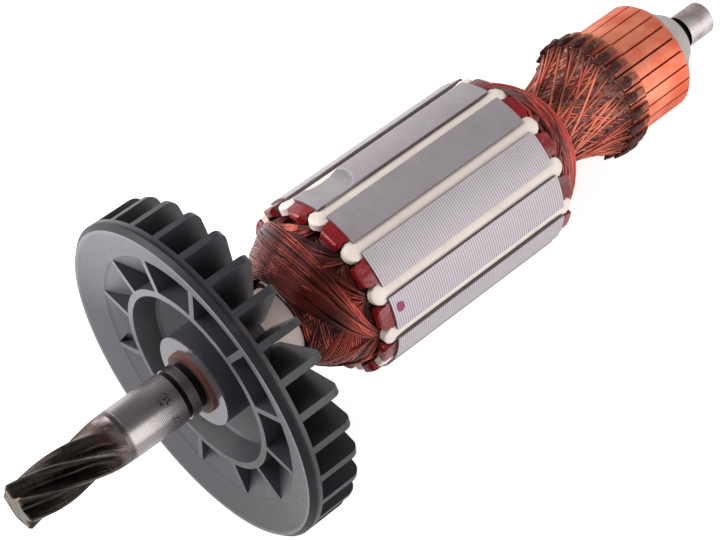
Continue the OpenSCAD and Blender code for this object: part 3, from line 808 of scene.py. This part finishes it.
# %% Wire finishes
def wire_finish(name, dark, light, roughness, metallic, darkening):
    wire = Finish(name, roughness=roughness, metallic=metallic)
    tone = wire.noise(140, detail=2)
    varnish = wire.group(grime, "Mask", Point=wire.point, Scale=110.0, Amount=0.48)
    colour = wire.blend(tone, dark, light)
    colour = wire.blend(wire.both(varnish, 0.7), colour, (0.030, 0.008, 0.007))
    # darkening: dark varnish with painted shade on the drive wires, scorching on the leads
    if darkening:
        colour = wire.blend(darkening(wire), colour, (0.022, 0.005, 0.005))
    wire.put("Base Color", colour)
    wire.put("Coat Weight", 0.25)
    wire.put("Coat Roughness", 0.12)
    return wire


def wire_set(place, metallic, tones, darkening=None):
    """The bright, middle and dark finish of one bundle, from dark, light and roughness of each."""
    return [wire_finish("%s_wire_%s" % (place, tone), *tones[tone], metallic, darkening)
            for tone in ("bright", "middle", "dark")]


# %% Soaked, shaded and scorched wire
def around(wire, angle):
    """One where the angle round the shaft is the given one, minus one on the opposite side."""
    turn = wire.math("SUBTRACT", place_of(wire, "Angle"), math.radians(angle))
    return wire.math("COSINE", turn)


def varnish_and_shade_by_fan(wire):
    """Dark varnish and painted shade: painted shade behind the fan and thinly over the top, and
    varnish with painted shade in the trench beside the core.
    """
    along, radius = place_of(wire, "Along"), place_of(wire, "Radius")
    # painted shade: a patch behind the fan, and a thin band over the top
    patch = wire.near(place_of(wire, "Local"), 13.5, 224, core_start - 10.5, 5.5)
    trench = wire.both(wire.ramp(along, core_start - 5.0, core_start - 2.6),
                       wire.ramp(radius, 16.6, 15.5))
    trench = wire.both(trench, wire.ramp(around(wire, 185), 0.50, 0.75))
    over_top = wire.ramp(around(wire, 160), 0.78, 0.96, 0.0, 0.55)
    patch = wire.math("MAXIMUM", patch, over_top)
    return wire.both(wire.math("MAXIMUM", patch, trench), 0.85)


def scorched_by_hooks(wire):
    """The leads darken over the last few millimetres before the hooks."""
    return wire.ramp(place_of(wire, "Along"), bar_start - 3.5, bar_start + 0.5, 0.0, 0.70)


# %% Wire tones
drive_wires = wire_set("drive", 0.85, {
    "bright": ((0.29, 0.036, 0.026), (0.64, 0.120, 0.075), 0.20),
    "middle": ((0.12, 0.017, 0.014), (0.28, 0.040, 0.028), 0.22),
    "dark": ((0.018, 0.004, 0.004), (0.065, 0.011, 0.009), 0.28)}, varnish_and_shade_by_fan)
rear_wires = wire_set("rear", 0.35, {
    "bright": ((0.58, 0.060, 0.042), (0.80, 0.110, 0.072), 0.30),
    "middle": ((0.44, 0.042, 0.032), (0.64, 0.072, 0.050), 0.30),
    "dark": ((0.060, 0.009, 0.008), (0.18, 0.024, 0.019), 0.34)})
lead_wires = wire_set("lead", 0.45, {
    "bright": ((0.64, 0.13, 0.070), (0.86, 0.25, 0.14), 0.28),
    "middle": ((0.44, 0.068, 0.046), (0.66, 0.12, 0.075), 0.30),
    "dark": ((0.13, 0.022, 0.018), (0.32, 0.055, 0.040), 0.34)}, scorched_by_hooks)
# varnish and painted shade: one near-black finish for the body under the coils and the slots
varnish_and_shade = smooth_finish("varnish_and_shade_pool", (0.020, 0.008, 0.007), (0.055, 0.020, 0.015), 0.2, 900, 0.08)
varnish_and_shade.put("Coat Weight", 0.7)
paint(["slot_conductors"], varnish_and_shade)
print("wire finishes:", len(drive_wires + rear_wires + lead_wires))

# %% [markdown]
# ## Coils
# A real end winding is twelve coils laid one after another. Each comes out of one slot, crosses
# the end of the core as an arch and goes down five slots further on, and the last coil lies on
# top of all the others. So the coils here are made in the same order: every wire follows the
# outline of the bundle, and each coil lies a little further out than the one before. The wires
# run in ribbons of six, because varnish pulls neighbours together and leaves gaps between. Wires
# are curves with a round section, because a curve is bent far more easily than a mesh.

# %% Wires as curves
def wire_curve(name, thickness, finishes):
    """An empty curve object with a round section, its thickness in mm, and its finishes."""
    data = bpy.data.curves.new(name, "CURVE")
    data.dimensions = "3D"
    data.bevel_depth = thickness / 2 * MM
    data.bevel_resolution = 1
    data.resolution_u = 1
    data.use_fill_caps = True
    for finish in finishes:
        data.materials.append(finish.material)
    return add_object(name, data)


def add_wire(piece, points, tone):
    spline = piece.data.splines.new("POLY")
    spline.points.add(len(points) - 1)
    for point, place in zip(spline.points, points):
        point.co = (*place, 1)
    spline.material_index = tone


# %% One end turn
COIL_SPAN = 5 * SLOT_TURN
TURN_STEPS = 22
OFF_CORE = 0.6  # mm between the core and the start of a turn
SLOT_TOP_R = 15.2  # mm from the axis, where a turn enters its slot
SLOT_SPREAD = 6.0  # degrees that the wires of one coil fill there
Winding = namedtuple("Winding", "side length top_r finishes wires thickness looseness")


def outline(share, top_r):
    """Radius of the end winding at a share of its length, the same rule as the solid's."""
    foot_r = tube_r + 0.5
    return foot_r + (top_r - foot_r) * max(0.0, 1 - share ** 1.7) ** 0.7


def core_face(winding_side):
    """Where the core ends, on the fan's side (-1) or on the commutator's (1)."""
    return core_start if winding_side < 0 else core_end


def turn_path(winding, start, share, furthest, slip, sunk):
    """Points of one end turn: an arch over the core's end that is pinched into both slots."""
    points = []
    for step in range(TURN_STEPS + 1):
        turn = math.pi * step / TURN_STEPS
        height = OFF_CORE + (furthest - OFF_CORE) * math.sin(turn) ** 0.85
        angle = start + COIL_SPAN / 2 * (1 - math.cos(turn)) + slip * math.sin(turn)
        r = outline(height / (winding.length * 1.03), winding.top_r) - sunk
        pinch = 1 - math.sin(turn) ** 0.5
        r = r * (1 - pinch) + min(r, SLOT_TOP_R) * pinch
        spread = (share - 0.5) * SLOT_SPREAD * pinch
        along = core_face(winding.side) + winding.side * height
        points.append(at(max(r, tube_r + 0.4), angle + spread, along))
    return points


# %% One coil
RIBBON = 6
RIBBON_FILL = 0.86  # the rest of a ribbon's width is a gap
COIL_LIFT = 0.14  # mm from one coil to the next
SHORTEST, SHORTEST_GAIN, LONGEST = 0.18, 0.28, 0.98  # shares of the winding's length


def lay_coil(name, winding, first_slot, order):
    """Ribbons of wires from one slot to another: short turns first, then longer ones over them."""
    piece = wire_curve(name, winding.thickness, winding.finishes)
    start = FIRST_SLOT + first_slot * SLOT_TURN
    ribbons = winding.wires // RIBBON
    depth = (SLOTS - 1 - order) * COIL_LIFT + winding.thickness / 2
    nearest = SHORTEST + SHORTEST_GAIN * order / (SLOTS - 1)
    tones = [0, 1, 1, 2] if order >= SLOTS - 3 else [0, 0, 0, 1, 2]
    for i in range(ribbons * RIBBON):
        ribbon, place_in_ribbon = divmod(i, RIBBON)
        if place_in_ribbon == 0:
            ribbon_slip = dice.uniform(-winding.looseness, winding.looseness)
            ribbon_tone = dice.choice(tones)
            ribbon_depth = dice.uniform(0, 0.1 * winding.looseness)
        share = (ribbon + place_in_ribbon / RIBBON * RIBBON_FILL) / ribbons
        furthest = winding.length * (nearest + (LONGEST - nearest) * share)
        slip = ribbon_slip + dice.uniform(-0.5, 0.5)
        crossing = (i % 2) * winding.thickness * 0.7
        sunk = depth + ribbon_depth + crossing + dice.uniform(0, 0.08)
        tone = ribbon_tone if dice.random() < 0.6 else dice.choice(tones)
        add_wire(piece, turn_path(winding, start, share, furthest, slip, sunk), tone)
    return piece


def lay_end_winding(where, winding, last_slot):
    """All the coils of one end, the last one laid starting from a given slot."""
    coils = []
    for order in range(SLOTS):
        slot = (last_slot + 1 + order) % SLOTS
        coil = lay_coil("%s_coil_%02d" % (where, order + 1), winding, slot, order)
        coils.append(coil)
        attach(coil, "root")
    return coils


# %% [markdown]
# ## Both end windings
# Between the wires of a real bundle the eye meets dark varnish and shade, never daylight. So a
# smooth body, painted dark for varnish and as painted shade, goes under the coils at each end, a
# profile of the same outline spun round the shaft. The coils then go over it: fine wire at the fan,
# thicker and looser wire at the commutator, and a few turns that slipped out of place over the last
# coil at the fan.

# %% Winding mass
PROFILE_STEPS = 16
MASS_DEPTH, MASS_START, MASS_SHORTER = 1.9, 0.8, 1.2  # mm inside the coils on every side


def winding_mass(name, winding_side, length, top_r):
    """The varnished body under the coils, dark for varnish and painted shade: an outline spun round
    the shaft.
    """
    form = bmesh.new()
    profile = []
    for step in range(PROFILE_STEPS + 1):
        share = math.sin(math.pi / 2 * step / PROFILE_STEPS)
        r = max(outline(share, top_r) - MASS_DEPTH, tube_r + 0.05)
        reach = MASS_START + (length - MASS_SHORTER) * share
        profile.append(form.verts.new(at(r, 0, core_face(winding_side) + winding_side * reach)))
    edges = [form.edges.new(pair) for pair in zip(profile, profile[1:])]
    bmesh.ops.spin(form, geom=profile + edges, cent=fan_front, axis=axis, dvec=(0, 0, 0),
                   angle=math.tau, steps=72, use_merge=True, use_duplicate=False)
    bmesh.ops.recalc_face_normals(form, faces=form.faces)
    return mesh_piece(name, form, varnish_and_shade)


drive_length = core_start - span("drive_end_winding")[0]
rear_length = span("rear_end_winding")[1] - core_end
drive_top_r = radius_of("drive_end_winding")
rear_top_r = radius_of("rear_end_winding")
drive_mass = winding_mass("drive_winding_mass", -1, drive_length, drive_top_r)
rear_mass = winding_mass("rear_winding_mass", 1, rear_length, rear_top_r)
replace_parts(drive_mass, "drive_end_winding")
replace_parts(rear_mass, "rear_end_winding")
print("windings reach %.1f and %.1f mm past the core" % (drive_length, rear_length))

# %% Coils on both ends
drive = Winding(-1, drive_length, drive_top_r + 0.2, drive_wires, 48, 0.32, 4.5)
drive_coils = lay_end_winding("drive", drive, last_slot=3)
over_last = drive._replace(top_r=drive_top_r + 0.45, wires=18, looseness=14.0)
loose_turns = lay_coil("drive_loose_turns", over_last, 3, SLOTS - 1)
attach(loose_turns, "root")
rear = Winding(1, rear_length, rear_top_r + 0.5, rear_wires, 36, 0.40, 7.0)
rear_coils = lay_end_winding("rear", rear, last_slot=4)
print("coils laid:", len(drive_coils) + len(rear_coils))

# %% [markdown]
# ## Lead packing and leads
# Between the coils and the commutator the neck is wrapped in varnished cord, and the leads
# climb it in three layers that cross: the lowest turns one way about the shaft, the two above it
# the other way, and each lead ends at a hook. The cord is many short beads of varnished thread.

# %% Packing finish and beads
cord = smooth_finish("packing_cord", (0.26, 0.085, 0.065), (0.80, 0.50, 0.42),
                     0.50, 1800, 0.08, 0.5, (0.055, 0.020, 0.016))
cord.put("Coat Weight", 0.2)
paint(["lead_packing"], cord)
packing_start, packing_end = span("lead_packing")
packing_length = packing_end - packing_start
packing_top = radius_of("lead_packing")
WAIST_R = 7.1
CORD_ROWS, CORD_BEADS = 8, 40


def packing_r(share):
    """Radius of the packing at a share of its length, the same rule as the solid's."""
    return WAIST_R + (packing_top - WAIST_R) * min(max(share, 0), 1) ** 2.2


def cord_beads():
    form = bmesh.new()
    for row in range(CORD_ROWS):
        share = (row + 0.5) / CORD_ROWS
        along = packing_start + share * packing_length
        for step in range(CORD_BEADS):
            angle = (step + 0.5 * (row % 2)) * 360 / CORD_BEADS + dice.uniform(-1, 1)
            place = at(packing_r(share) + 0.15, angle, along)
            size = packing_r(share) * 0.045 * dice.uniform(0.7, 1.3)
            bead = bmesh.ops.create_icosphere(form, subdivisions=1, radius=size * MM)
            bmesh.ops.translate(form, verts=bead["verts"], vec=place)
    mesh_piece("packing_beads", form, cord)


cord_beads()
print("cord beads:", CORD_ROWS * CORD_BEADS)

# %% Leads
LEAD_STEPS = 14


def lay_leads(name, sweep, lift, count, thickness):
    """Leads from the waist to the hooks, turning by sweep degrees as they climb."""
    piece = wire_curve(name, thickness, lead_wires)
    for i in range(count):
        end_angle = 360 / count * (i + 0.5) + dice.uniform(-2.5, 2.5)
        turn = sweep * dice.uniform(0.7, 1.25)
        wander, bulge = dice.uniform(-6, 6), dice.uniform(0.1, 0.7)
        points = []
        for step in range(LEAD_STEPS + 1):
            share = step / LEAD_STEPS
            r = packing_r(share) + lift + bulge * math.sin(math.pi * share)
            angle = end_angle - turn * (1 - share) ** 1.2 + wander * math.sin(math.pi * share)
            points.append(at(r, angle, packing_start - 1.0 + share * (packing_length + 0.4)))
        add_wire(piece, points, dice.choice([0, 0, 1, 2]))
    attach(piece, "root")
    return piece


lower_leads = lay_leads("lower_leads", 56, 0.20, 48, 0.40)
middle_leads = lay_leads("middle_leads", -22, 0.42, 48, 0.40)
upper_leads = lay_leads("upper_leads", -46, 0.72, 36, 0.46)
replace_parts(upper_leads, "commutator_leads")
layers = (lower_leads, middle_leads, upper_leads)
print("leads laid:", sum(len(layer.data.splines) for layer in layers))

# %% [markdown]
# ## Commutator
# Turned copper, burnt orange on the brush track with fine lines round it. The hooks were fused
# over the wires with heat and varnish, which left them nearly black. The radius tells the raised
# riser from the track, and the distance from the riser's end tells how far the heat went.

# %% Commutator finish
RISER_STEP = 1.25
track_r = riser_r - RISER_STEP
bars = sorted(name for name in nodes if name.startswith("commutator_bar"))


def copper_finish():
    copper = Finish("commutator_copper", metallic=0.6)
    along, radius = place_of(copper, "Along"), place_of(copper, "Radius")
    cloud = copper.ramp(copper.noise(110, detail=5), 0.36, 0.64)
    bright = copper.blend(cloud, (0.80, 0.145, 0.068), (0.97, 0.33, 0.20))
    fused = copper.ramp(radius, track_r + 0.55, track_r + 0.75)
    scorched = copper.ramp(along, bar_start + 6.4, bar_start + 3.8)
    charred = copper.both(fused, copper.ramp(along, bar_start + 3.4, bar_start + 2.2))
    burnt = copper.blend(copper.noise(900, detail=4), (0.030, 0.014, 0.012), (0.17, 0.070, 0.045))
    shade = copper.blend(copper.both(scorched, 0.6), bright, (0.34, 0.11, 0.075))
    shade = copper.blend(copper.both(fused, 0.7), shade, (0.20, 0.065, 0.045))
    copper.put("Base Color", copper.blend(charred, shade, burnt))
    lines = copper.group(fine_lines, "Height", Value=along, Pitch=0.3)
    scuffs = copper.streaky_noise(place_of(copper, "Local"), (0.2, 0.2, 3.0))
    copper.put("Roughness", copper.ramp(scuffs, 0.3, 0.7, 0.44, 0.58))
    copper.put("Normal", copper.bump(lines, 0.004, copper.bump(scuffs, 0.004)))
    return copper


paint(bars, copper_finish())

# %% [markdown]
# ## Fused hooks
# Each bar's hook was pressed over its wires while hot. What is left is an uneven dark lump of
# metal and burnt varnish, with a bright cut wire end here and there. Small spheres, flattened and
# pushed about at random, sit on the plain hooks of the solid bars.

# %% Fused hooks
BAR_TURN = 360 / len(bars)
LUMP_HEIGHT = 0.60  # mm from the middle of a lump to its crest


def fused_hooks():
    burnt = smooth_finish("burnt_varnish", (0.018, 0.004, 0.004), (0.085, 0.019, 0.015),
                          0.50, 1400, 0.16, 0.6, (0.26, 0.065, 0.045))
    burnt.put("Specular IOR Level", 0.3)
    form = bmesh.new()
    for number in range(len(bars)):
        angle = BAR_TURN * (number + 0.5) + dice.uniform(-1.2, 1.2)
        along = bar_start + 1.3 + dice.uniform(-0.4, 0.5)
        lean = dice.uniform(-0.5, 0.1)
        width, reach = dice.uniform(0.85, 1.10), dice.uniform(1.7, 2.2)
        lump = bmesh.ops.create_icosphere(form, subdivisions=3, radius=1)
        for vertex in lump["verts"]:
            x, y, z = vertex.co
            ripple = 0.16 * math.sin(4 * z + number) + 0.10 * math.sin(7 * y + 2 * number)
            x, y, z = vertex.co * (1 + ripple + dice.uniform(-0.05, 0.05))
            turn = angle + (y * width + z * lean) * 180 / math.pi / riser_r
            vertex.co = at(riser_r - 0.15 + x * LUMP_HEIGHT, turn, along + z * reach)
    bmesh.ops.recalc_face_normals(form, faces=form.faces)
    mesh_piece("fused_hooks", form, burnt)


# %% Cut wire ends
CUT_END_TURNS = (-2.6, -1.6, 0.8, 2.4)  # degrees from the middle of a bar


def cut_ends():
    """One or two short bright ends on every bar, each pointing outward."""
    piece = wire_curve("cut_wire_ends", 0.5, lead_wires)
    for number in range(len(bars)):
        for side_step in dice.sample(CUT_END_TURNS, dice.choice([1, 2])):
            angle = BAR_TURN * (number + 0.5) + side_step
            along = bar_start + dice.uniform(0.2, 2.6)
            first = at(riser_r - 0.5, angle, along)
            last = at(riser_r + dice.uniform(0.1, 0.4), angle + dice.uniform(-2, 2), along + 0.5)
            add_wire(piece, [first, last], 0)
    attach(piece, "root")


fused_hooks()
cut_ends()
print("hooks fused:", len(bars))

# %% [markdown]
# ## Paint mark
# A dab of magenta paint on one tooth, left by whoever balanced the armature.

# %% Paint mark
MARK_ANGLE, MARK_R, MARK_FROM_EDGE = 229.7, 0.95, 1.7


def paint_mark():
    """An uneven disk a hair above the tooth, turned to face outward."""
    dab = smooth_finish("magenta_paint", (0.22, 0.010, 0.085), (0.36, 0.025, 0.15), 0.4, 1500, 0.03)
    form = bmesh.new()
    made = bmesh.ops.create_circle(form, cap_ends=True, radius=MARK_R * MM, segments=14)
    for vertex in made["verts"]:
        vertex.co *= dice.uniform(0.85, 1.12)
    outward = at(1, MARK_ANGLE, 0) - at(0, MARK_ANGLE, 0)
    turn = outward.normalized().to_track_quat("Z", "Y").to_matrix().to_4x4()
    place = at(core_r + 0.015, MARK_ANGLE, core_start + MARK_FROM_EDGE)
    bmesh.ops.transform(form, matrix=turn, verts=form.verts)
    bmesh.ops.translate(form, verts=form.verts, vec=place)
    mesh_piece("paint_mark", form, dab)


paint_mark()
print("paint mark at", MARK_ANGLE, "degrees")
